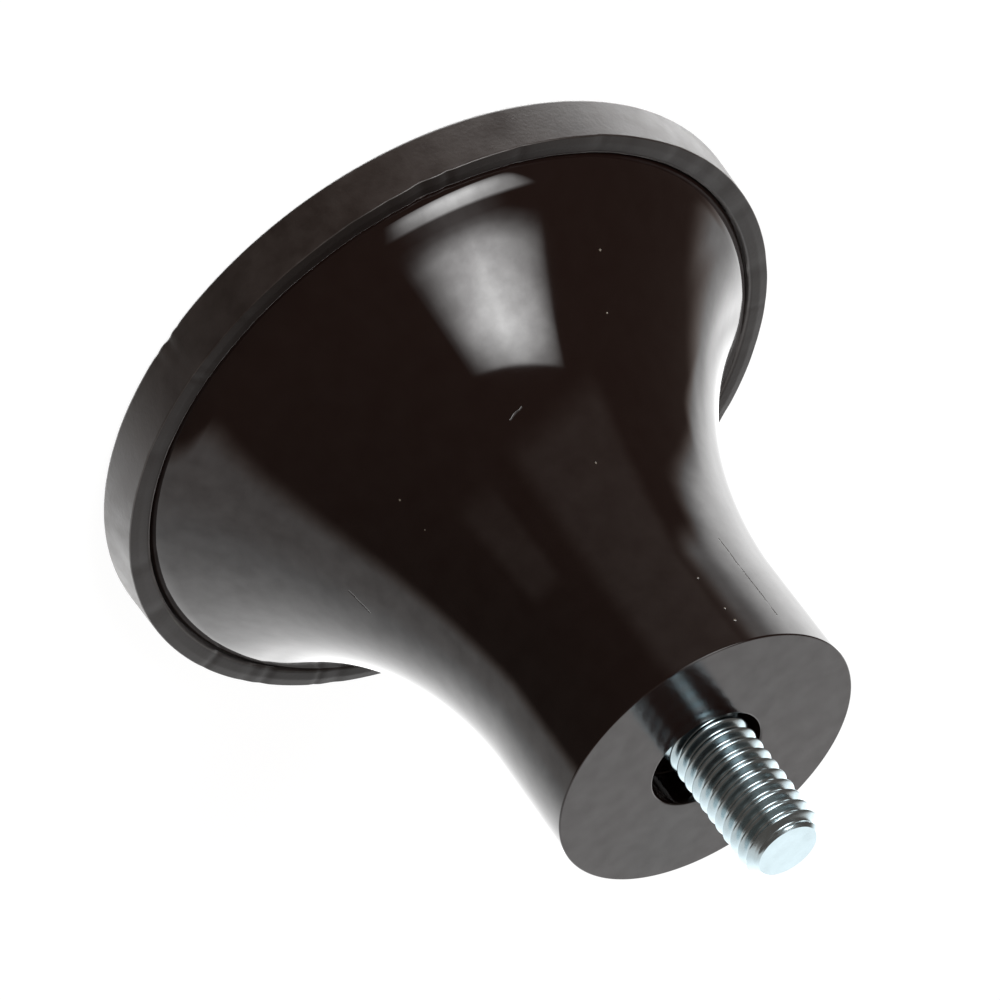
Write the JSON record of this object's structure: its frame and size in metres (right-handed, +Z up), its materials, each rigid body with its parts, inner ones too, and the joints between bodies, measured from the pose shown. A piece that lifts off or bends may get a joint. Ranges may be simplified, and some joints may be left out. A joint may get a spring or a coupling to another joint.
{
  "type": "appliance foot",
  "caption": "Bell-shaped moulded appliance foot with a rubber pad under its wide end and a threaded stud out of its narrow end.",
  "frame": {"origin": "centre of the rubber pad's underside, on the floor", "axes": "+Z up the foot's axis, from the pad to the stud's tip; the stud stands 0.7 mm to -X of the axis"},
  "size_m": [0.053, 0.053, 0.0485],
  "materials": {
    "body_plastic": "black moulded plastic, polished",
    "pad_rubber": "black moulded rubber, matt",
    "bolt_zinc": "bright zinc plated steel"
  },
  "bodies": {
    "root": {"foot_body": "body_plastic", "rubber_pad": "pad_rubber", "stud_bolt": "bolt_zinc"}
  },
  "joints": []
}
